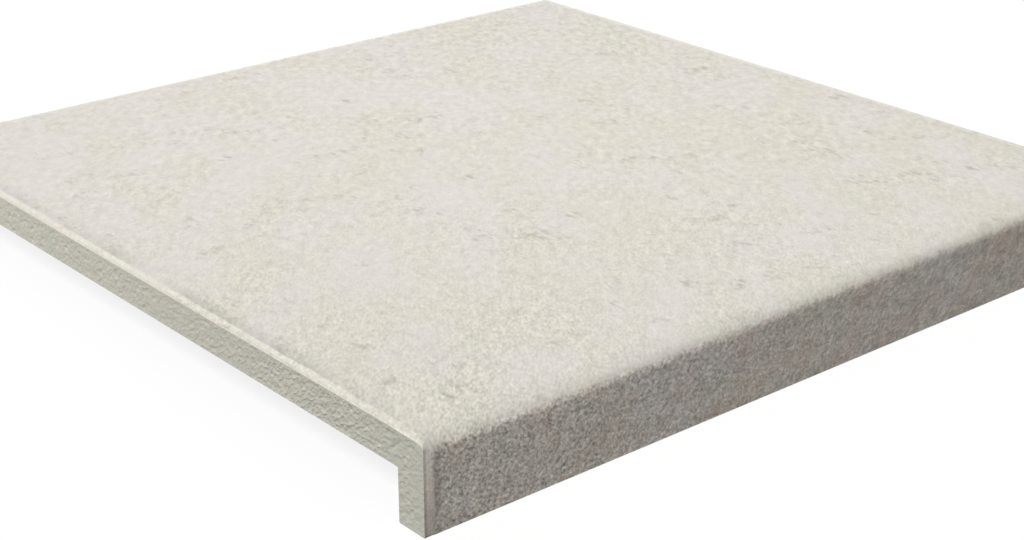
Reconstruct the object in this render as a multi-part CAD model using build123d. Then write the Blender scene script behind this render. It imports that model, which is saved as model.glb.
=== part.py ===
# Stair tread tile: one fired stoneware piece with an L section. The slab is walked on,
# and the nose hangs down in front of the step's edge. Sizes are in millimetres.
# X runs along the nose, +Y from the nose to the back edge, +Z up.
# The origin is under the middle of the tile, level with the nose's foot.

import os

from build123d import *

# Driving dimensions
tread_width = 330.0  # along the nose, end to end
tread_depth = 330.0  # nose face to back edge
nose_height = 30.0  # foot of the nose to the walking face
slab_thickness = 12.0
nose_thickness = 12.0

# Edges of the section
nose_radius = 4.0  # round between the walking face and the nose face
inner_radius = 1.0  # root between the slab's underside and the nose's back
foot_radius = 0.4  # softened arrises of the nose's foot and the slab's lower back edge

# Glazed shoulder, a shallow slope along both ends and the back edge of the glazed face
shoulder_width = 3.5
shoulder_drop = 0.2

# Keying recesses pressed into the underside, which the adhesive grips
key_size = 22.0  # side of one square recess, at its mouth
key_land = 8.0  # flat land between two recesses
key_depth = 0.9
key_draft = 30.0  # degrees, so that the piece leaves the mould
key_margin = 14.0  # least plain border round the field of recesses

# Planes that the sizes above place
front = -tread_depth / 2
back = tread_depth / 2
nose_back = front + nose_thickness
underside = nose_height - slab_thickness


def blank():
    # L section across the tile, drawn with Y to the right and Z up, and run from end to end
    section = make_face(
        Polyline(
            (front, 0),
            (nose_back, 0),
            (nose_back, underside),
            (back, underside),
            (back, nose_height),
            (front, nose_height),
            close=True,
        )
    )
    root = section.vertices().sort_by_distance((nose_back, underside, 0))[0]
    section = fillet(root, inner_radius)
    nosing = section.vertices().sort_by_distance((front, nose_height, 0))[0]
    section = fillet(nosing, nose_radius)
    return extrude(Plane.YZ * section, amount=tread_width / 2, both=True)


def slope_end(end):
    # The slope follows the glazed edge of one end over the slab, round the nose and down its face
    on_slab = end.edges().sort_by(Axis.Z)[-1]
    on_nose = end.edges().sort_by(Axis.Y)[0]
    round_nose = end.edges().sort_by_distance((end.center().X, front, nose_height))[0]
    return chamfer([on_slab, round_nose, on_nose], shoulder_drop, shoulder_width, reference=end)


def slope_back(tile):
    back_edge = tile.faces().sort_by(Axis.Y)[-1]
    on_slab = back_edge.edges().sort_by(Axis.Z)[-1]
    return chamfer(on_slab, shoulder_drop, shoulder_width, reference=back_edge)


def soften_arrises(tile):
    along = tile.edges().filter_by(Axis.X)
    arrises = [
        along.sort_by_distance((0, front, 0))[0],
        along.sort_by_distance((0, nose_back, 0))[0],
        along.sort_by_distance((0, back, underside))[0],
    ]
    return fillet(arrises, foot_radius)


def keying_recesses():
    # Square recesses with drafted walls, centred on the underside between nose and back edge
    pitch = key_size + key_land
    columns = int((tread_width - 2 * key_margin + key_land) // pitch)
    rows = int((back - nose_back - 2 * key_margin + key_land) // pitch)
    recess = extrude(Rectangle(key_size, key_size), amount=key_depth, taper=key_draft)
    field = Pos(0, (nose_back + back) / 2, underside) * GridLocations(pitch, pitch, columns, rows)
    return field * recess


tile = blank()
tile = slope_end(tile.faces().sort_by(Axis.X)[0])
tile = slope_end(tile.faces().sort_by(Axis.X)[-1])
tile = slope_back(tile)
tile = soften_arrises(tile)
tile -= keying_recesses()

os.makedirs("parts", exist_ok=True)
export_step(tile, "parts/tread_tile.step")
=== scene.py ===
import math

import bmesh
import bpy
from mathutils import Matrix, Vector, noise


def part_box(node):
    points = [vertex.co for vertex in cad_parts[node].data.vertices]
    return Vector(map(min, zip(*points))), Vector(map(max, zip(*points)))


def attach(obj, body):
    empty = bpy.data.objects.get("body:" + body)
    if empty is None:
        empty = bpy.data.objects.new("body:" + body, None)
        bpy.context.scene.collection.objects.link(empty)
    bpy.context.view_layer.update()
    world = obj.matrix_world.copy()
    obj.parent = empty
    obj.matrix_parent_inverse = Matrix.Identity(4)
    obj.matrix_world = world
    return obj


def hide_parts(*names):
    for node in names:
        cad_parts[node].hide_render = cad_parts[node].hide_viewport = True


# Stair tread tile: one pressed and fired piece, glazed on the tread and nose, bare elsewhere.
# It is modelled in the frame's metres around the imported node. Sizes below are in mm.

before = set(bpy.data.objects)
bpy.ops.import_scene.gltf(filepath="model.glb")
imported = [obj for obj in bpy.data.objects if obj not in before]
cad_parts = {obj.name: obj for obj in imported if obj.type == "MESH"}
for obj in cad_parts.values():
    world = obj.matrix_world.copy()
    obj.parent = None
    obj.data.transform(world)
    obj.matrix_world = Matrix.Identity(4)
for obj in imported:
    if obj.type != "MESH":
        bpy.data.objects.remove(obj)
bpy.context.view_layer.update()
low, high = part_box("tread_tile")
touch = 1e-6  # metres, points nearer than this are at one place
squareOn = 0.99  # least cosine for a face that looks straight one way


def mm(value):
    return value * 0.001


def linearColour(code):
    # sRGB hex to the linear values that shaders take
    parts = [int(code[i:i + 2], 16) / 255 for i in (1, 3, 5)]
    return [c / 12.92 if c <= 0.04045 else ((c + 0.055) / 1.055) ** 2.4 for c in parts] + [1.0]


def easeIn(value):
    # 0 below 0, 1 above 1 and a soft step between
    share = min(1.0, max(0.0, value))
    return share * share * (3 - 2 * share)


# Blank of the tile: the L section, gridded on the ends and run from end to end

blank = {
    "slab": 12.0,
    "nose": 12.0,
    "noseRadius": 4.0,
    "noseSteps": 8,
    "rootRadius": 0.5,
    "rootSteps": 3,
    "footRadius": 0.4,
    "footSteps": 3,
    "endCell": 1.3,  # grid of the ends, halved once the shoulders are shaped
    "endMargin": 0.63,  # left whole round the grid, for the worn arrises
    "backCut": 2.1,  # last cut but one before the back edge
    "glazeCell": 1.6,  # grid along the nose
    "sharpAngle": 35.0,  # degrees, edges that turn more stay sharp
}
noseBack = low.y + mm(blank["nose"])
underside = high.z - mm(blank["slab"])
roundBack = low.y + mm(blank["noseRadius"])
roundFoot = high.z - mm(blank["noseRadius"])


def roundCorner(bm, y, z, kind):
    corner = [v for v in bm.verts if abs(v.co.y - y) < touch and abs(v.co.z - z) < touch]
    bmesh.ops.bevel(bm, geom=corner, offset=mm(blank[kind + "Radius"]), offset_type="OFFSET",
                    affect="VERTICES", segments=blank[kind + "Steps"], profile=0.5, material=-1)


def slices(bm, faces, axis, places):
    # cuts the faces across one axis at each place, from the low end upwards
    normal = Vector([float(i == axis) for i in range(3)])
    for place in places:
        geom = set(faces)
        for f in faces:
            geom.update(f.edges)
            geom.update(f.verts)
        cut = bmesh.ops.bisect_plane(bm, geom=list(geom), dist=touch / 10,
                                     plane_co=normal * place, plane_no=normal)["geom"]
        faces = [f for f in cut if isinstance(f, bmesh.types.BMFace)
                 and f.calc_center_median()[axis] > place]


def evenPlaces(start, stop, cell):
    # after start, up to and with stop
    count = max(1, round((stop - start) / cell))
    return [start + (stop - start) * i / count for i in range(1, count + 1)]


def middles(bm, test):
    return [f for f in bm.faces if test(f.calc_center_median())]


def makeSection(bm):
    corners = [(low.y, low.z), (noseBack, low.z), (noseBack, underside),
               (high.y, underside), (high.y, high.z), (low.y, high.z)]
    bm.faces.new([bm.verts.new((low.x, y, z)) for y, z in corners])
    roundCorner(bm, low.y, high.z, "nose")
    roundCorner(bm, noseBack, underside, "root")
    for y, z in [(low.y, low.z), (noseBack, low.z), (high.y, underside)]:
        roundCorner(bm, y, z, "foot")


def gridSection(bm):
    # the corner under the nose round stays whole, and a margin is left for the shoulders
    cell, margin = mm(blank["endCell"]), mm(blank["endMargin"])
    alongSlab = evenPlaces(roundBack, noseBack, cell)
    alongSlab += evenPlaces(noseBack, high.y - mm(shoulders["width"]), cell)
    alongSlab += [high.y - mm(blank["backCut"]), high.y - margin]
    upSlab = evenPlaces(underside, roundFoot, cell)
    upLeg = [low.z + margin] + evenPlaces(low.z + margin, underside, cell) + upSlab
    upTop = evenPlaces(roundFoot, high.z - margin, cell)
    slices(bm, bm.faces[:], 2, [roundFoot])
    slices(bm, middles(bm, lambda m: m.z < roundFoot), 1, [low.y + margin, roundBack] + alongSlab)
    slices(bm, middles(bm, lambda m: m.z > roundFoot), 1, [roundBack] + alongSlab)
    slices(bm, middles(bm, lambda m: m.z < roundFoot and m.y < noseBack), 2, upLeg[:-1])
    slices(bm, middles(bm, lambda m: m.z < roundFoot and m.y > noseBack), 2, upSlab[:-1])
    slices(bm, middles(bm, lambda m: m.z > roundFoot and m.y > roundBack), 2, upTop)


def runSection(bm):
    pulled = bmesh.ops.extrude_face_region(bm, geom=bm.faces[:])["geom"]
    moved = [v for v in pulled if isinstance(v, bmesh.types.BMVert)]
    bmesh.ops.translate(bm, verts=moved, vec=(high.x - low.x, 0, 0))
    bmesh.ops.recalc_face_normals(bm, faces=bm.faces[:])
    bmesh.ops.dissolve_faces(bm, faces=lands(bm), use_verts=False)
    print("blank:", len(bm.faces), "faces")


# Keying recesses under the slab

keying = {
    "size": 22.0,
    "land": 8.0,
    "depth": 0.9,
    "draft": 30.0,  # degrees
    "margin": 14.0,
}


def lands(bm):
    return [f for f in bm.faces if f.normal.z < -squareOn
            and abs(f.calc_center_median().z - underside) < touch]


def pressRecesses(bm):
    size, pitch = mm(keying["size"]), mm(keying["size"] + keying["land"])
    spare = mm(keying["land"] - 2 * keying["margin"])
    columns = int((high.x - low.x + spare) / pitch)
    rows = int((high.y - noseBack + spare) / pitch)
    left = (low.x + high.x) / 2 - (columns * pitch - mm(keying["land"])) / 2
    near = (noseBack + high.y) / 2 - (rows * pitch - mm(keying["land"])) / 2
    slices(bm, lands(bm), 0, [left + i * pitch + step for i in range(columns) for step in (0, size)])
    slices(bm, lands(bm), 1, [near + i * pitch + step for i in range(rows) for step in (0, size)])

    def inRecess(f):
        middle = f.calc_center_median()
        across, along = middle.x - left, middle.y - near
        inField = 0 < across < columns * pitch and 0 < along < rows * pitch
        return inField and across % pitch < size and along % pitch < size

    mouths = [f for f in lands(bm) if inRecess(f)]
    slope = mm(keying["depth"]) * math.tan(math.radians(keying["draft"]))
    bmesh.ops.inset_individual(bm, faces=mouths, thickness=slope, depth=0.0)
    floors = {v for f in mouths for v in f.verts}
    bmesh.ops.translate(bm, verts=list(floors), vec=(0, 0, mm(keying["depth"])))
    print("keying recesses:", len(mouths))


# Shoulders: a shallow slope with a worn arris along both ends and the back edge of the glazed face

shoulders = {
    "width": 3.5,
    "drop": 0.2,
    "arris": 0.15,  # round of the arris on the tread and on the nose
    "noseArris": 0.06,
    "cornerWear": 0.7,  # more wear at the corner above the nose
    "cornerLength": 12.0,
    "cornerRadius": 2.0,  # nose round at the arris of an end, tighter than along the tile
    "roundShare": 0.97,  # of the nose radius, less than the facets of the round leave
    "cuts": (0.06, 0.15, 0.35, 0.7, 2.0, 3.5),  # from the arris inwards
}


def glazedNormal(place):
    # way out of the glazed face at a point of the section, or None off it
    if place.y < roundBack and place.z > roundFoot:
        out = place - Vector((place.x, roundBack, roundFoot))
        onRound = out.length > mm(blank["noseRadius"]) * shoulders["roundShare"]
        return out.normalized() if onRound else None
    if place.z > high.z - touch:
        return Vector((0, 0, 1))
    if place.y < low.y + touch:
        return Vector((0, -1, 0))
    return None


def onGlaze(f):
    out = glazedNormal(f.calc_center_median())
    return out is not None and f.normal.dot(out) > squareOn


def onBack(f):
    return f.normal.y > squareOn and high.y - f.calc_center_median().y < touch


def toArris(place):
    # distance to the nearest edge that has a shoulder
    return min(place.x - low.x, high.x - place.x, high.y - place.y)


def gridGlaze(bm):
    cuts = [mm(c) for c in shoulders["cuts"]]
    band = [f for f in bm.faces if onGlaze(f) or onBack(f)]
    slices(bm, band, 0, [low.x + c for c in cuts] + [high.x - c for c in reversed(cuts)])
    for f in bm.faces:
        f.normal_update()
        f.material_index = 0 if onGlaze(f) else 1
    # the long edges between the two shoulders
    inner = high.x - cuts[-1]
    runs = [e for f in bm.faces if onGlaze(f) or onBack(f) for e in f.edges
            if e.calc_length() > inner and min(v.co.x for v in e.verts) > low.x + cuts[0]]
    count = len(evenPlaces(-inner, inner, mm(blank["glazeCell"])))
    bmesh.ops.subdivide_edges(bm, edges=list(set(runs)), cuts=count - 1, use_grid_fill=True)


def shoulderDrop(place, out, away):
    # the slope, and next to the arris its worn round
    drop = mm(shoulders["drop"]) * (1 - away / mm(shoulders["width"]))
    corner = easeIn(1 - (place.y - roundBack) / mm(shoulders["cornerLength"]))
    more = shoulders["arris"] - shoulders["noseArris"] + shoulders["cornerWear"] * corner
    worn = mm(shoulders["noseArris"] + more * max(0.0, out.z))
    if away < worn:
        drop += worn - math.sqrt(worn ** 2 - (worn - away) ** 2)
    return drop


def shapeShoulders(bm):
    width, foot = mm(shoulders["width"]), mm(blank["footRadius"])
    tightest = mm(blank["noseRadius"] - shoulders["cornerRadius"])
    moves = []
    for v in bm.verts:
        away = toArris(v.co)
        out = glazedNormal(v.co)
        fade = 1.0
        if out is None and v.co.y < low.y + foot and v.co.z < low.z + foot:
            # the slope runs out on the foot's round
            out = Vector((0, -1, 0))
            fade = 1 - (v.co.y - low.y) / foot
        if out is None or away > width:
            continue
        drop = shoulderDrop(v.co, out, away)
        if v.co.y < roundBack + touch and v.co.z > roundFoot - touch:
            tighter = tightest * easeIn(1 - away / width)
            moves.append((v, Vector((0, -1, 1)) * tighter - out * (tighter + drop)))
        else:
            moves.append((v, out * (-drop * fade)))
    for v, move in moves:
        v.co += move
    ends = [e for e in bm.edges if all(min(v.co.x - low.x, high.x - v.co.x) < touch for v in e.verts)]
    bmesh.ops.subdivide_edges(bm, edges=ends, cuts=1, use_grid_fill=True)


# Relief of the pressed glazed face and the bare edges

relief = {
    "waveSize": 22.0,
    "waveDepth": 0.16,
    "lumpSize": 7.5,
    "lumpDepth": 0.09,
    "grainSize": 3.4,
    "grainDepth": 0.06,
    "treadShare": 0.4,  # the tread is flatter than the nose
    "footFade": 2.0,  # the nose's relief fades out above its foot
    "rollLength": 12.0,  # the tread eases down towards the nose round
    "rollDepth": 0.25,
    "pebbleSize": 1.9,
    "pebbleStretch": 1.6,
    "pebbleSlant": 32.0,  # degrees
    "pebbleDepth": 0.70,
    "pebbleOctaves": (0.8, 2.0, 2),  # fall-off, step and count
    "pebbleFloor": 0.30,  # share of the relief that smooth stretches lose
    "roughGain": 0.25,  # how much less of it rough stretches lose
    "leastFloor": 0.02,
    "roughSize": 45.0,  # stretches of the ends that came out rougher
    "roughSpread": 0.4,
    "calmStart": 60.0,  # behind the nose face, where the pebbles start to calm, and over what length
    "calmLength": 60.0,
    "calmLoss": 0.5,
    "legShare": 0.7,
    "endTop": 1.0,  # plain strips of the ends, under the tread and behind the nose face
    "endFront": 0.5,
    "endFade": 1.2,
    "frontFade": 1.5,
    "backTop": 1.2,  # and of the back edge
    "backFade": 1.5,
}


def stoneRelief(place):
    wave = noise.noise(place / mm(relief["waveSize"]))
    lump = noise.noise(place / mm(relief["lumpSize"]))
    grain = noise.noise(place / mm(relief["grainSize"]))
    return mm(relief["waveDepth"] * wave + relief["lumpDepth"] * lump + relief["grainDepth"] * grain)


def rollDepth(place):
    share = max(0.0, 1 - (place.y - roundBack) / mm(relief["rollLength"]))
    return mm(relief["rollDepth"]) * min(1.0, share) ** 2


def pebbleRelief(place):
    # worm-like pebbles that lean with the press stroke, rougher towards the nose
    lean = math.radians(relief["pebbleSlant"])
    along = place.x + place.y
    stretched = (place.z * math.sin(lean) - along * math.cos(lean)) / relief["pebbleStretch"]
    upright = place.z * math.cos(lean) + along * math.sin(lean)
    spot = Vector((place.x, stretched, upright)) / mm(relief["pebbleSize"])
    pebble = noise.fractal(spot, *relief["pebbleOctaves"])
    calm = easeIn((place.y - low.y - mm(relief["calmStart"])) / mm(relief["calmLength"]))
    patch = noise.noise(place / mm(relief["roughSize"]))
    rough = 1.0 - relief["calmLoss"] * calm + relief["roughSpread"] * patch
    if place.y < noseBack:
        rough *= relief["legShare"]
    floor = max(relief["leastFloor"], relief["pebbleFloor"] - relief["roughGain"] * rough)
    crest = max(0.0, abs(pebble) - floor)
    return mm(relief["pebbleDepth"]) * math.copysign(crest, pebble)


def endShare(place):
    # 1 inside an end, fading to 0 at its edges
    fade = mm(relief["endFade"])
    below = max(place.z - underside, noseBack - place.y)
    share = easeIn((high.z - place.z - mm(relief["endTop"])) / fade)
    share *= easeIn((place.z - low.z) / fade) * easeIn(below / fade)
    return share * easeIn((place.y - low.y - mm(relief["endFront"])) / mm(relief["frontFade"]))


def carveRelief(bm):
    width = mm(shoulders["width"])
    foot = low.z + mm(blank["footRadius"])
    moves = []
    for v in bm.verts:
        place = v.co.copy()
        out = glazedNormal(place)
        if out and toArris(place) > width - touch:
            fade = easeIn((toArris(place) - width) / width)
            fade *= easeIn((place.z - foot) / mm(relief["footFade"]))
            fade *= 1 - (1 - relief["treadShare"]) * max(0.0, out.z)
            moves.append((v, out * (stoneRelief(place) * fade) - Vector((0, 0, rollDepth(place)))))
        elif min(place.x - low.x, high.x - place.x) < touch:
            inwards = pebbleRelief(place) * endShare(place)
            moves.append((v, Vector((math.copysign(inwards, -place.x), 0, 0))))
        elif high.y - place.y < touch:
            share = easeIn((high.z - place.z - mm(relief["backTop"])) / mm(relief["backFade"]))
            moves.append((v, Vector((0, pebbleRelief(place) * share, 0))))
    for v, move in moves:
        v.co += move


# Materials
# Numbered inputs: Map Range has 0 value, 1 and 2 from, 3 and 4 to, both of them 0 and 1 unless set.
# Mix has 0 factor, 2 and 3 numbers, 6 and 7 colours.

noiseMean = 0.5


def addNode(tree, kind, inputs=None, **settings):
    # an input takes a value, a socket, or a node, which stands for its first live output
    node = tree.nodes.new("ShaderNode" + kind)
    for name, value in settings.items():
        setattr(node, name, value)
    for key, value in (inputs or {}).items():
        if isinstance(value, bpy.types.Node):
            value = next(s for s in value.outputs if s.enabled)
        if isinstance(value, bpy.types.NodeSocket):
            tree.links.new(value, node.inputs[key])
        else:
            node.inputs[key].default_value = value
    return node


def newMaterial(name):
    material = bpy.data.materials.new(name)
    material.use_nodes = True
    material.node_tree.nodes.clear()
    return material, material.node_tree


# Glaze: its rim strip along the ends and back edge, its nose and its tread

glaze = {
    "roughness": 0.65,
    "ior": 1.5,
    "specular": 0.3,
    "across": (0.6, 0.8, 0),  # the print changes this way, from the front left to the back right
    "reach": 1.35,  # half widths from the middle to either end of that change
    "turn": 50.0,  # degrees, the way in which the print is drawn out
    "draw": 1.7,
    "clusterSize": 38.0,  # patches where the print is rougher and the flecks crowd
    "waverSize": 5.0,  # the edges of the rim strip and the nose waver
    "waverReach": 1.6,
    "rimWidth": 3.1,
    "stripWidth": 3.5,  # of the rim strip down the nose
    "rimOuter": 0.3,  # blur of its inner edge, to both sides
    "rimInner": 0.4,
    "noseTop": 1.3,  # below the tread, where the nose's print starts and where it is full
    "noseFull": 2.8,
}
waverMean = mm(glaze["waverReach"]) / 2
rimPlace = mm(glaze["rimWidth"]) + waverMean
frontLeft = low.x * glaze["reach"]
backRight = high.x * glaze["reach"]


def glazeZones(tree):
    place = addNode(tree, "TexCoord").outputs["Object"]
    x, y, z = addNode(tree, "SeparateXYZ", {0: place}).outputs
    turn = (0, 0, math.radians(glaze["turn"]))
    drawn = addNode(tree, "Mapping", {"Vector": place, "Rotation": turn, "Scale": (glaze["draw"], 1, 1)},
                    vector_type="TEXTURE")
    diagonal = addNode(tree, "VectorMath", {0: place, 1: glaze["across"]}, operation="DOT_PRODUCT")
    cluster = addNode(tree, "TexNoise", {"Vector": place, "Scale": 1 / mm(glaze["clusterSize"]),
                                         "Detail": 2.0})
    waver = addNode(tree, "TexNoise", {"Vector": place, "Scale": 1 / mm(glaze["waverSize"]), "Detail": 1.0})
    side = addNode(tree, "Math", {0: x}, operation="ABSOLUTE")
    fromEnd = addNode(tree, "Math", {0: high.x, 1: side}, operation="SUBTRACT")
    fromBack = addNode(tree, "Math", {0: high.y, 1: y}, operation="SUBTRACT")
    inwards = addNode(tree, "Math", {0: fromEnd, 1: fromBack}, operation="MINIMUM")
    ragged = addNode(tree, "Math", {0: waver, 1: mm(glaze["waverReach"]), 2: z}, operation="MULTIPLY_ADD")
    nose = addNode(tree, "MapRange", {0: ragged, 1: high.z + waverMean - mm(glaze["noseFull"]),
                                      2: high.z + waverMean - mm(glaze["noseTop"]), 3: 1, 4: 0})
    edge = addNode(tree, "Math", {0: nose, 1: mm(glaze["rimWidth"] - glaze["stripWidth"]), 2: inwards},
                   operation="MULTIPLY_ADD")
    wavy = addNode(tree, "Math", {0: waver, 1: mm(glaze["waverReach"]), 2: edge}, operation="MULTIPLY_ADD")
    rim = addNode(tree, "MapRange", {0: wavy, 1: rimPlace - mm(glaze["rimOuter"]),
                                     2: rimPlace + mm(glaze["rimInner"]), 3: 1, 4: 0})
    offRim = addNode(tree, "Math", {0: 1.0, 1: rim}, operation="SUBTRACT")
    sandy = addNode(tree, "Math", {0: nose, 1: offRim}, operation="MULTIPLY")
    return {"place": place, "x": x, "y": y, "z": z, "drawn": drawn, "diagonal": diagonal, "cluster": cluster,
            "fromEnd": fromEnd, "fromBack": fromBack, "inwards": inwards, "wavy": wavy,
            "nose": nose, "rim": rim, "sandy": sandy}


# Painted light and shade along the rim strip: its slope painted paler as if lit, with painted shade beside it
# and at its very edge
rimStrip = {
    "pale": 1.06,  # painted light: the strip's slope, which leans towards the key lamp, is paler than the tread, with painted shade at its very edge
    "edge": 0.90,
    "edgeReach": 1.6,
    "grooveShade": 0.79,  # painted shade beside it, in stretches, where the tread slopes away from the key lamp
    "grooveFaint": 0.97,
    "grooveWidth": 7.0,
    "noseGroove": 0.72,
    "noseGrooveWidth": 4.5,
    "stretchSize": 40.0,
    "stretchFaint": 0.35,  # noise of a faint and of a full stretch
    "stretchFull": 0.65,
    "stretchFront": 1.5,  # added for each metre to the front, where the groove is fuller
    "near": 0.25,  # share of it that shows above the nose
    "nearStart": 10.0,  # behind the nose face, where it starts to show more and where it is whole
    "nearStop": 55.0,
    "far": 0.2,  # share of it that shows at the right end and at the back edge, where the slopes lean away from the key lamp
    "backStart": 5.0,  # before the back edge, where it starts to show more and where it is whole
    "backStop": 20.0,
}


def rimLightAndShade(tree, zone):
    nose = zone["nose"]
    patchy = addNode(tree, "TexNoise", {"Vector": zone["place"], "Scale": 1 / mm(rimStrip["stretchSize"]),
                                        "Detail": 1.0})
    fuller = addNode(tree, "Math", {0: zone["y"], 1: -rimStrip["stretchFront"], 2: patchy},
                     operation="MULTIPLY_ADD")
    onTread = addNode(tree, "MapRange", {0: fuller, 1: rimStrip["stretchFaint"], 2: rimStrip["stretchFull"],
                                         3: rimStrip["grooveFaint"], 4: rimStrip["grooveShade"]})
    depth = addNode(tree, "Mix", {0: nose, 2: onTread, 3: rimStrip["noseGroove"]})
    reach = addNode(tree, "MapRange", {0: nose, 3: rimPlace + mm(rimStrip["grooveWidth"]),
                                       4: rimPlace + mm(rimStrip["noseGrooveWidth"])})
    # painted shade inside the rim strip, where the surface slopes away from the key lamp, deeper on the nose
    grooveShade = addNode(tree, "MapRange", {0: zone["wavy"], 1: rimPlace, 2: reach, 3: depth, 4: 1.0},
                     interpolation_type="SMOOTHSTEP")
    # painted light on the rim strip's slope, which leans towards the key lamp, fading to painted shade at its
    # outer edge
    litRim = addNode(tree, "MapRange", {0: zone["inwards"], 1: 0, 2: mm(rimStrip["edgeReach"]),
                                        3: rimStrip["edge"], 4: rimStrip["pale"]},
                     interpolation_type="SMOOTHSTEP")
    whole = addNode(tree, "Mix", {0: zone["rim"], 2: grooveShade, 3: litRim})
    # how much of it shows, all of it on the nose
    leftwards = addNode(tree, "MapRange", {0: zone["x"], 1: low.x / 2, 2: high.x / 2, 3: 1.0,
                                           4: rimStrip["far"]})
    forwards = addNode(tree, "MapRange", {0: zone["fromBack"], 1: mm(rimStrip["backStart"]),
                                          2: mm(rimStrip["backStop"]), 3: rimStrip["far"], 4: 1.0})
    backwards = addNode(tree, "MapRange", {0: zone["y"], 1: low.y + mm(rimStrip["nearStart"]),
                                           2: low.y + mm(rimStrip["nearStop"]), 3: rimStrip["near"], 4: 1.0})
    sideways = addNode(tree, "Math", {0: leftwards, 1: forwards}, operation="MULTIPLY")
    behind = addNode(tree, "Math", {0: sideways, 1: backwards}, operation="MULTIPLY")
    shown = addNode(tree, "Math", {0: behind, 1: nose}, operation="MAXIMUM")
    return addNode(tree, "Mix", {0: shown, 2: 1.0, 3: whole})


toneAndShade = {
    "left": 0.982,  # the tread is a little darker on the left and round its border
    "right": 1.023,
    "middle": 1.005,
    "border": 0.945,
    "frontLeft": 0.915,  # painted shade just before the nose, where the tread eases down to the nose round
    "frontRight": 0.955,
    "frontStart": 2.0,
    "frontStop": 12.0,
    "noseLeft": 1.04,
    "noseRight": 0.90,
    "arrisLine": 0.80,  # a dark line down the nose's arris
    "lineStart": 0.5,
    "lineStop": 1.0,
    "reedPitch": 1.1,  # fine upright lines of the strip beside the nose
    "reedSpread": 0.05,
    "stripFoot": 0.75,  # the strip grows paler from the foot upwards
    "stripTop": 1.15,
    "stripClimb": 17.0,
    "paler": (0.59, 0.81, 0),  # the way in which the tread grows paler
}


def treadToneAndShade(tree, zone):
    away = addNode(tree, "VectorMath", {0: zone["place"], 1: toneAndShade["paler"]}, operation="DOT_PRODUCT")
    across = addNode(tree, "MapRange", {0: away, 1: frontLeft, 2: backRight, 3: toneAndShade["left"],
                                        4: toneAndShade["right"]})
    spread = addNode(tree, "VectorMath", {0: zone["place"], 1: zone["place"]}, operation="DOT_PRODUCT")
    outwards = addNode(tree, "MapRange", {0: spread, 1: 0, 2: high.x ** 2 + high.y ** 2, 3: toneAndShade["middle"],
                                          4: toneAndShade["border"]})
    offRim = addNode(tree, "Mix", {0: zone["rim"], 2: outwards, 3: 1.0})
    faded = addNode(tree, "Math", {0: across, 1: offRim}, operation="MULTIPLY")
    darker = addNode(tree, "MapRange", {0: zone["x"], 1: low.x, 2: high.x, 3: toneAndShade["frontLeft"],
                                        4: toneAndShade["frontRight"]})
    # painted shade on the tread just before the nose round
    front = addNode(tree, "MapRange", {0: zone["y"], 1: low.y + mm(toneAndShade["frontStart"]),
                                       2: low.y + mm(toneAndShade["frontStop"]), 3: darker, 4: 1.0},
                    interpolation_type="SMOOTHSTEP")
    return addNode(tree, "Math", {0: faded, 1: front}, operation="MULTIPLY")


def noseTone(tree, zone):
    along = addNode(tree, "MapRange", {0: zone["x"], 1: low.x, 2: high.x, 3: toneAndShade["noseLeft"],
                                       4: toneAndShade["noseRight"]})
    line = addNode(tree, "MapRange", {0: zone["fromEnd"], 1: mm(toneAndShade["lineStart"]), 2: mm(toneAndShade["lineStop"]),
                                      3: toneAndShade["arrisLine"], 4: 1.0})
    lined = addNode(tree, "Math", {0: along, 1: line}, operation="MULTIPLY")
    oneTurn = 2 * math.pi
    turns = addNode(tree, "Math", {0: zone["x"], 1: oneTurn / mm(toneAndShade["reedPitch"])}, operation="MULTIPLY")
    reed = addNode(tree, "Math", {0: turns}, operation="SINE")
    spread = addNode(tree, "MapRange", {0: zone["rim"], 4: toneAndShade["reedSpread"]})
    reeded = addNode(tree, "Math", {0: reed, 1: spread, 2: lined}, operation="MULTIPLY_ADD")
    climb = addNode(tree, "MapRange", {0: zone["z"], 1: low.z, 2: low.z + mm(toneAndShade["stripClimb"]),
                                       3: toneAndShade["stripFoot"], 4: toneAndShade["stripTop"]})
    onStrip = addNode(tree, "Mix", {0: zone["rim"], 2: 1.0, 3: climb})
    return addNode(tree, "Math", {0: reeded, 1: onStrip}, operation="MULTIPLY")


stone = {
    "cream": "#DBD7CB",
    "lilac": "#DFDAD4",
    "cloudSize": 32.0,
    "lilacNoise": 0.385,  # noise of a lilac and of a cream cloud
    "creamNoise": 0.585,
    "creamWay": (0.12, -0.25, 0),  # added for each metre, there is more cream at the front
    "grainSize": 3.3,
    "grainFront": 0.23,  # strength of the grain at the front left and the back right
    "grainBack": 0.56,
    "rimGrain": 0.8,  # share of it on the rim strip
    "dustSize": 0.8,  # finer on a real print, drawn as coarse as it needs to show
    "dustDraw": 2.4,
    "dustFront": 0.46,  # strength of the dust at the front left, which ends past the middle
    "dustBack": 0.0,
    "dustReach": 0.4,  # half widths past the middle
    "lilacGrain": 0.62,  # the lilac clouds are smoother than the cream ones
    "creamGrain": 1.15,
    "calmNoise": 0.35,  # noise of a calm and of a rough patch
    "roughNoise": 0.65,
    "calmGrain": 0.8,
    "roughGrain": 1.2,
    "mottleSize": 5.0,
    "mottleBack": 0.42,  # strength on the tread at the back right, none at the front left
    "mottleLeft": 0.55,  # and along the nose
    "mottleRight": 1.50,
}


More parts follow.
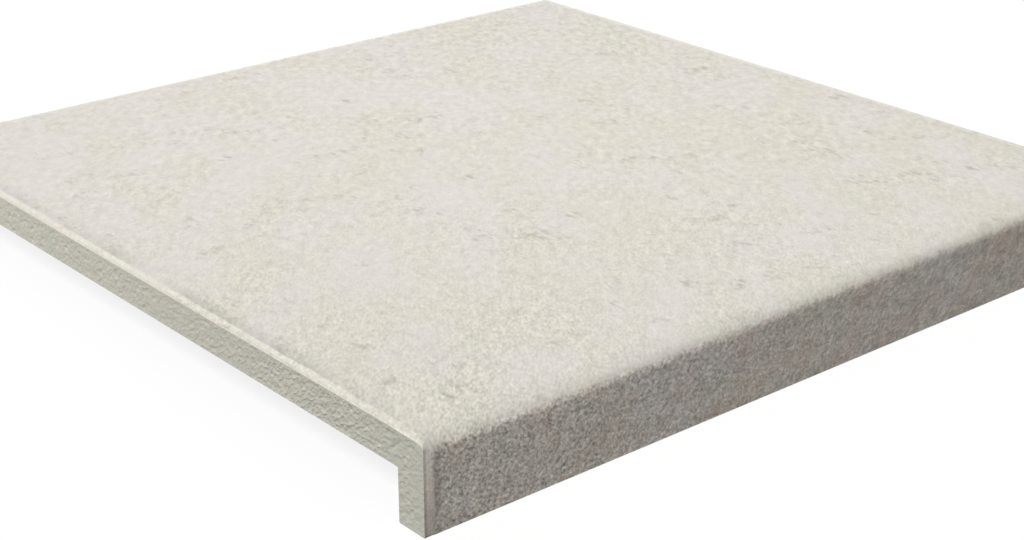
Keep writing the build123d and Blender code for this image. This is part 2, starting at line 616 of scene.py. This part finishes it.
def cloudShare(tree, zone):
    # 0 in a lilac cloud, 1 in a cream one, with more cream at the front and in two corners
    cloud = addNode(tree, "TexNoise", {"Vector": zone["drawn"], "Scale": 1 / mm(stone["cloudSize"]),
                                       "Detail": 4.0, "Roughness": 0.65})
    forwards = addNode(tree, "VectorMath", {0: zone["place"], 1: stone["creamWay"]}, operation="DOT_PRODUCT")
    corners = addNode(tree, "Math", {0: zone["x"], 1: zone["y"], 2: forwards}, operation="MULTIPLY_ADD")
    mixed = addNode(tree, "Math", {0: cloud, 1: corners}, operation="ADD")
    return addNode(tree, "MapRange", {0: mixed, 1: stone["lilacNoise"], 2: stone["creamNoise"]})


def stoneTint(tree, zone, share):
    # the rim strip of the tread is all cream
    treadRim = addNode(tree, "Math", {0: zone["rim"], 1: zone["nose"]}, operation="SUBTRACT", use_clamp=True)
    creamy = addNode(tree, "Math", {0: share, 1: treadRim}, operation="MAXIMUM")
    return addNode(tree, "Mix", {0: creamy, 6: linearColour(stone["lilac"]), 7: linearColour(stone["cream"])},
                   data_type="RGBA")


def stoneGrain(tree, zone, share):
    grain = addNode(tree, "TexNoise", {"Vector": zone["drawn"], "Scale": 1 / mm(stone["grainSize"]),
                                       "Detail": 1.6, "Roughness": 0.75})
    evened = addNode(tree, "Math", {0: grain, 1: noiseMean}, operation="SUBTRACT")
    onTread = addNode(tree, "MapRange", {0: zone["diagonal"], 1: frontLeft, 2: backRight,
                                         3: stone["grainFront"], 4: stone["grainBack"]})
    onRim = addNode(tree, "MapRange", {0: zone["rim"], 3: 1.0, 4: stone["rimGrain"]})
    strength = addNode(tree, "Math", {0: onRim, 1: onTread}, operation="MULTIPLY")
    grained = addNode(tree, "Math", {0: evened, 1: strength}, operation="MULTIPLY")
    turn = (0, 0, math.radians(glaze["turn"]))
    dusted = addNode(tree, "Mapping", {"Vector": zone["place"], "Rotation": turn,
                                       "Scale": (stone["dustDraw"], 1, 1)}, vector_type="TEXTURE")
    dust = addNode(tree, "TexNoise", {"Vector": dusted, "Scale": 1 / mm(stone["dustSize"]), "Detail": 0.0})
    sifted = addNode(tree, "Math", {0: dust, 1: noiseMean}, operation="SUBTRACT")
    strewn = addNode(tree, "MapRange", {0: zone["diagonal"], 1: frontLeft, 2: high.x * stone["dustReach"],
                                        3: stone["dustFront"], 4: stone["dustBack"]})
    dusty = addNode(tree, "Math", {0: sifted, 1: strewn, 2: grained}, operation="MULTIPLY_ADD")
    lively = addNode(tree, "MapRange", {0: share, 3: stone["lilacGrain"], 4: stone["creamGrain"]})
    rougher = addNode(tree, "MapRange", {0: zone["cluster"], 1: stone["calmNoise"], 2: stone["roughNoise"],
                                         3: stone["calmGrain"], 4: stone["roughGrain"]})
    uneven = addNode(tree, "Math", {0: lively, 1: rougher}, operation="MULTIPLY")
    return addNode(tree, "Math", {0: dusty, 1: uneven, 2: 1.0}, operation="MULTIPLY_ADD")


def stoneMottle(tree, zone, tone):
    mottle = addNode(tree, "TexNoise", {"Vector": zone["place"], "Scale": 1 / mm(stone["mottleSize"]),
                                        "Detail": 3.0, "Roughness": 0.7})
    evened = addNode(tree, "Math", {0: mottle, 1: noiseMean}, operation="SUBTRACT")
    onNose = addNode(tree, "MapRange", {0: zone["x"], 1: low.x, 2: high.x, 3: stone["mottleLeft"],
                                        4: stone["mottleRight"]})
    onTread = addNode(tree, "MapRange", {0: zone["diagonal"], 1: frontLeft, 2: backRight,
                                         4: stone["mottleBack"]})
    strength = addNode(tree, "Mix", {0: zone["nose"], 2: onTread, 3: onNose})
    return addNode(tree, "Math", {0: evened, 1: strength, 2: tone}, operation="MULTIPLY_ADD")


sand = {
    "size": 1.05,
    "turn": 46.0,  # degrees
    "draw": 1.5,
    "left": 2.05,  # strength at the left end of the nose, and from a place right of its middle on
    "right": 0.5,
    "rightPlace": 60.0,
    "start": 0.4,  # share of the nose's ragged top where the sand starts
}


def noseSand(tree, zone, tone):
    turn = (0, math.radians(sand["turn"]), 0)
    slanted = addNode(tree, "Mapping", {"Vector": zone["place"], "Rotation": turn,
                                        "Scale": (sand["draw"], 1, 1)}, vector_type="TEXTURE")
    grains = addNode(tree, "TexNoise", {"Vector": slanted, "Scale": 1 / mm(sand["size"]), "Detail": 1.0,
                                        "Roughness": 0.8})
    evened = addNode(tree, "Math", {0: grains, 1: noiseMean}, operation="SUBTRACT")
    coarse = addNode(tree, "MapRange", {0: zone["x"], 1: low.x, 2: mm(sand["rightPlace"]), 3: sand["left"],
                                        4: sand["right"]})
    amount = addNode(tree, "MapRange", {0: zone["sandy"], 1: sand["start"], 2: 1.0, 4: coarse})
    return addNode(tree, "Math", {0: evened, 1: amount, 2: tone}, operation="MULTIPLY_ADD")


specks = {
    "fleck": "#A39B8D",
    "fleckSize": 2.2,
    "fleckShare": 0.28,
    "fleckNoise": (0.58, 0.76),  # noise where a fleck starts and where it is full
    "crowdNoise": (0.45, 0.65),
    "sparse": 0.15,  # share of the flecks between two crowds
    "dab": "#8F877A",
    "dabSize": 2.5,
    "dabDraw": 2.0,  # drawn out from back to front
    "dabNoise": (0.48, 0.64),
    "dabFront": 0.43,
    "dabBack": 0.26,
    "fieldSize": 13.0,  # the dabs come in sparse fields of about this size
    "fieldNoise": (0.58, 0.72),
}


def darkFlecks(tree, zone, colour):
    speck = addNode(tree, "TexNoise", {"Vector": zone["drawn"], "Scale": 1 / mm(specks["fleckSize"]),
                                       "Detail": 2.0, "Roughness": 0.6})
    start, full = specks["fleckNoise"]
    fleck = addNode(tree, "MapRange", {0: speck, 1: start, 2: full, 4: specks["fleckShare"]})
    start, full = specks["crowdNoise"]
    crowd = addNode(tree, "MapRange", {0: zone["cluster"], 1: start, 2: full, 3: specks["sparse"], 4: 1.0})
    flecks = addNode(tree, "Math", {0: fleck, 1: crowd}, operation="MULTIPLY")
    return addNode(tree, "Mix", {0: flecks, 6: colour, 7: linearColour(specks["fleck"])}, data_type="RGBA")


def dabShare(tree, zone):
    # short soft dashes on the tread, fewer towards the back
    field = addNode(tree, "TexNoise", {"Vector": zone["place"], "Scale": 1 / mm(specks["fieldSize"]),
                                       "Detail": 1.0})
    most = addNode(tree, "MapRange", {0: zone["y"], 1: low.y, 2: high.y, 3: specks["dabFront"],
                                      4: specks["dabBack"]})
    onTread = addNode(tree, "MapRange", {0: zone["nose"], 3: most, 4: 0})
    start, full = specks["fieldNoise"]
    strength = addNode(tree, "MapRange", {0: field, 1: start, 2: full, 4: onTread})
    dashed = addNode(tree, "Mapping", {"Vector": zone["place"], "Scale": (1, specks["dabDraw"], 1)},
                     vector_type="TEXTURE")
    blot = addNode(tree, "TexNoise", {"Vector": dashed, "Scale": 1 / mm(specks["dabSize"]), "Detail": 1.5,
                                      "Roughness": 0.6})
    start, full = specks["dabNoise"]
    return addNode(tree, "MapRange", {0: blot, 1: start, 2: full, 4: strength})


stains = {
    "brown": "#F9EEEC",
    "grey": "#FBF9F9",
    "size": 14.0,
    "brownNoise": 0.28,  # noise of a brown and of a grey stain
    "greyNoise": 0.58,
    "start": 0.4,  # share of the nose's ragged top where the stains start
}


def noseStains(tree, zone, colour):
    stain = addNode(tree, "TexNoise", {"Vector": zone["place"], "Scale": 1 / mm(stains["size"]),
                                       "Detail": 3.0, "Roughness": 0.6})
    share = addNode(tree, "MapRange", {0: stain, 1: stains["brownNoise"], 2: stains["greyNoise"]})
    wash = addNode(tree, "Mix", {0: share, 6: linearColour(stains["brown"]), 7: linearColour(stains["grey"])},
                   data_type="RGBA")
    washed = addNode(tree, "MapRange", {0: zone["nose"], 1: stains["start"], 2: 1.0})
    return addNode(tree, "Mix", {0: washed, 6: colour, 7: wash}, data_type="RGBA", blend_type="MULTIPLY")


grit = {
    "size": 2.2,
    "depth": 0.32,
    "tread": 0.22,  # share of the nose's grit that the tread and rim strip have
    "dabPit": 0.5,  # the dabs are shallow pits
}


def gritBump(tree, zone, dab):
    grains = addNode(tree, "TexNoise", {"Vector": zone["place"], "Scale": 1 / mm(grit["size"]), "Detail": 1.0,
                                        "Roughness": 0.7})
    strength = addNode(tree, "MapRange", {0: zone["sandy"], 3: grit["tread"], 4: 1.0})
    pitted = addNode(tree, "Math", {0: dab, 1: -grit["dabPit"], 2: grains}, operation="MULTIPLY_ADD")
    return addNode(tree, "Bump", {"Strength": strength, "Distance": mm(grit["depth"]), "Height": pitted})


def stoneGlaze():
    # Matt glaze on pressed stoneware, printed as pale stone: chalky, with grit that raking light picks out
    # and no mirror highlights. The print is sandier on the nose.
    material, tree = newMaterial("matt_glazed_stoneware")
    zone = glazeZones(tree)
    # tone of the tread and nose, with painted shade just before the nose round
    fired = addNode(tree, "Mix", {0: zone["nose"], 2: treadToneAndShade(tree, zone), 3: noseTone(tree, zone)})
    shade = addNode(tree, "Math", {0: rimLightAndShade(tree, zone), 1: fired}, operation="MULTIPLY")
    share = cloudShare(tree, zone)
    tone = noseSand(tree, zone, stoneGrain(tree, zone, share))
    level = addNode(tree, "Math", {0: stoneMottle(tree, zone, tone), 1: shade}, operation="MULTIPLY")
    tint = stoneTint(tree, zone, share)
    printed = addNode(tree, "VectorMath", {0: tint, "Scale": level}, operation="SCALE")
    flecked = darkFlecks(tree, zone, printed)
    dab = dabShare(tree, zone)
    dabbed = addNode(tree, "Mix", {0: dab, 6: flecked, 7: linearColour(specks["dab"])}, data_type="RGBA")
    surface = addNode(tree, "BsdfPrincipled", {"Base Color": noseStains(tree, zone, dabbed),
                                               "Roughness": glaze["roughness"], "IOR": glaze["ior"],
                                               "Specular IOR Level": glaze["specular"],
                                               "Normal": gritBump(tree, zone, dab)})
    addNode(tree, "OutputMaterial", {"Surface": surface})
    return material


# Bare body

body = {
    "olive": "#BBBAAE",
    "dun": "#C0BCB0",
    "patchSize": 10.0,
    "oliveNoise": 0.38,  # noise of an olive and of a dun patch
    "dunNoise": 0.62,
    "foot": -0.24,  # added to that noise at the foot, at the top of the leg and at the top of the slab
    "legTop": -0.10,
    "slabTop": 0.06,
    "legBlend": 15.0,  # behind the nose's back
    "roughness": 0.85,
    "ior": 1.5,
    "specular": 0.2,
    "wormSize": 1.1,
    "wormNoise": (0.40, 0.74),  # noise where a worm starts and where it is full
    "wormDepth": 0.20,
    "wormFar": 0.5,  # share of that depth towards the back, and from where to where it changes
    "farStart": 60.0,
    "farStop": 120.0,
    "wormLeg": 0.5,  # and on the leg
}


def bodyTint(tree, place, y, z):
    cloud = addNode(tree, "TexNoise", {"Vector": place, "Scale": 1 / mm(body["patchSize"]), "Detail": 3.0,
                                       "Roughness": 0.6})
    top = addNode(tree, "MapRange", {0: y, 1: noseBack, 2: noseBack + mm(body["legBlend"]), 3: body["legTop"],
                                     4: body["slabTop"]})
    height = addNode(tree, "MapRange", {0: z, 1: low.z, 2: high.z, 3: body["foot"], 4: top})
    mixed = addNode(tree, "Math", {0: cloud, 1: height}, operation="ADD")
    share = addNode(tree, "MapRange", {0: mixed, 1: body["oliveNoise"], 2: body["dunNoise"]})
    return addNode(tree, "Mix", {0: share, 6: linearColour(body["olive"]), 7: linearColour(body["dun"])},
                   data_type="RGBA")


def wormBump(tree, place, y):
    turn = (-math.radians(relief["pebbleSlant"]), 0, 0)
    stretch = (1, relief["pebbleStretch"], 1)
    lean = addNode(tree, "Mapping", {"Vector": place, "Rotation": turn, "Scale": stretch},
                   vector_type="TEXTURE")
    worm = addNode(tree, "TexNoise", {"Vector": lean, "Scale": 1 / mm(body["wormSize"]), "Detail": 0.5,
                                      "Roughness": 0.6})
    start, full = body["wormNoise"]
    worms = addNode(tree, "MapRange", {0: worm, 1: start, 2: full}, interpolation_type="SMOOTHSTEP")
    far = addNode(tree, "MapRange", {0: y, 1: low.y + mm(body["farStart"]), 2: low.y + mm(body["farStop"]),
                                     3: 1.0, 4: body["wormFar"]})
    leg = addNode(tree, "MapRange", {0: y, 1: noseBack, 2: noseBack + mm(body["legBlend"]),
                                     3: body["wormLeg"], 4: 1.0})
    strength = addNode(tree, "Math", {0: far, 1: leg}, operation="MULTIPLY")
    return addNode(tree, "Bump", {"Strength": strength, "Distance": mm(body["wormDepth"]), "Height": worms})


def bareBody():
    # Unglazed fired stoneware: grey-green low down and dun above, dull, pebbly where the press left it
    material, tree = newMaterial("bare_fired_stoneware")
    place = addNode(tree, "TexCoord").outputs["Object"]
    axes = addNode(tree, "SeparateXYZ", {0: place}).outputs
    surface = addNode(tree, "BsdfPrincipled", {"Base Color": bodyTint(tree, place, axes["Y"], axes["Z"]),
                                               "Roughness": body["roughness"], "IOR": body["ior"],
                                               "Specular IOR Level": body["specular"],
                                               "Normal": wormBump(tree, place, axes["Y"])})
    addNode(tree, "OutputMaterial", {"Surface": surface})
    return material


# Tile

def makeTile():
    bm = bmesh.new()
    makeSection(bm)
    gridSection(bm)
    runSection(bm)
    pressRecesses(bm)
    gridGlaze(bm)
    shapeShoulders(bm)
    carveRelief(bm)
    loose = [e for e in bm.edges if len(e.link_faces) != 2]
    for f in bm.faces:
        f.smooth = True
    mesh = bpy.data.meshes.new("tread_tile_piece")
    bm.to_mesh(mesh)
    bm.free()
    mesh.set_sharp_from_angle(angle=math.radians(blank["sharpAngle"]))
    mesh.materials.append(stoneGlaze())
    mesh.materials.append(bareBody())
    piece = bpy.data.objects.new("tread_tile_piece", mesh)
    bpy.context.scene.collection.objects.link(piece)
    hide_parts("tread_tile")
    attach(piece, "root")
    triangles = sum(len(p.vertices) - 2 for p in mesh.polygons)
    print("tile:", len(mesh.vertices), "points,", triangles, "triangles,", len(loose), "open edges")


# Floor, light and camera

studio = {
    "floorSize": 6.0,  # metres
    "paperGlow": 0.85,  # share of the seen floor that shadows don't reach
    "floorBounce": 0.2,
    "keyWay": (-0.62, -0.10, 0.78),  # from the tile towards the lamp
    "keyStrength": 2.67,
    "keySpread": 15.0,  # degrees
    "fill": 0.34,
    "sidePlace": (-0.60, 0.45, 0.09),  # metres, a soft lamp beside the back of the left end
    "sideSize": 0.15,
    "sidePower": 0.85,
    "edgePlace": (1.5, 1.5, 0.012),  # metres, a strip for the right end and back edge, lower than the tread
    "edgeLength": 1.0,
    "edgeHeight": 0.016,
    "edgePower": 16.0,
}


def seenDirectly(tree):
    # 1 for rays that see the backdrop itself, 0 for the light that it throws on the tile
    path = addNode(tree, "LightPath").outputs
    seen = addNode(tree, "Math", {0: path["Is Camera Ray"], 1: path["Is Glossy Ray"]}, operation="MAXIMUM")
    return addNode(tree, "Math", {0: seen, 1: path["Is Transmission Ray"]}, operation="MAXIMUM")


def makeFloor():
    bm = bmesh.new()
    bmesh.ops.create_grid(bm, x_segments=1, y_segments=1, size=studio["floorSize"] / 2)
    bmesh.ops.translate(bm, verts=bm.verts[:], vec=(0, 0, low.z))
    mesh = bpy.data.meshes.new("studio_floor")
    bm.to_mesh(mesh)
    bm.free()
    floor = bpy.data.objects.new("studio_floor", mesh)
    bpy.context.scene.collection.objects.link(floor)
    material, tree = newMaterial("white_paper_floor")
    seen = seenDirectly(tree)
    bounce = studio["floorBounce"]
    colour = addNode(tree, "Mix", {0: seen, 6: (bounce, bounce, bounce, 1), 7: (1, 1, 1, 1)},
                     data_type="RGBA")
    paper = addNode(tree, "BsdfDiffuse", {"Color": colour})
    glow = addNode(tree, "Emission", {"Color": (1, 1, 1, 1), "Strength": 1.0})
    share = addNode(tree, "Math", {0: seen, 1: studio["paperGlow"]}, operation="MULTIPLY")
    surface = addNode(tree, "MixShader", {0: share, 1: paper, 2: glow})
    addNode(tree, "OutputMaterial", {"Surface": surface})
    mesh.materials.append(material)
    print("floor laid")


def addLamp(name, kind, way, place=(0, 0, 0), **settings):
    # a lamp that shines back along the way from the tile to it
    lamp = bpy.data.lights.new(name, kind)
    for key, value in settings.items():
        setattr(lamp, key, value)
    stand = bpy.data.objects.new(name, lamp)
    stand.location = place
    stand.rotation_euler = Vector(way).to_track_quat("Z", "Y").to_euler()
    bpy.context.scene.collection.objects.link(stand)


def makeLight():
    addLamp("key_lamp", "SUN", studio["keyWay"], energy=studio["keyStrength"],
            angle=math.radians(studio["keySpread"]))
    addLamp("side_lamp", "AREA", studio["sidePlace"], studio["sidePlace"], shape="DISK",
            size=studio["sideSize"], energy=studio["sidePower"])
    x, y, z = studio["edgePlace"]
    addLamp("edge_lamp", "AREA", (x, y, 0), (x, y, z), shape="RECTANGLE", size=studio["edgeLength"],
            size_y=studio["edgeHeight"], energy=studio["edgePower"])
    world = bpy.data.worlds.new("studio_world")
    bpy.context.scene.world = world
    world.use_nodes = True
    tree = world.node_tree
    tree.nodes.clear()
    strength = addNode(tree, "MapRange", {0: seenDirectly(tree), 3: studio["fill"], 4: 1.0})
    backdrop = addNode(tree, "Background", {"Color": (1, 1, 1, 1), "Strength": strength})
    addNode(tree, "OutputWorld", {"Surface": backdrop})
    print("lamps and fill set")


view = {
    "place": (-457.07, -551.17, 286.48),
    "turn": (67.082, 0.095, -40.044),  # degrees
    "lens": 69.718,
    "sensor": 36.0,
    "nearest": 10.0,
}


def makeCamera():
    camera = bpy.data.cameras.new("photo_camera")
    camera.lens = view["lens"]
    camera.sensor_width = view["sensor"]
    camera.clip_start = mm(view["nearest"])
    seat = bpy.data.objects.new("photo_camera", camera)
    seat.location = [mm(v) for v in view["place"]]
    seat.rotation_euler = [math.radians(v) for v in view["turn"]]
    bpy.context.scene.collection.objects.link(seat)
    bpy.context.scene.camera = seat
    print("camera at", view["place"])


makeTile()
makeFloor()
makeLight()
makeCamera()
bpy.context.scene.view_settings.view_transform = "Standard"
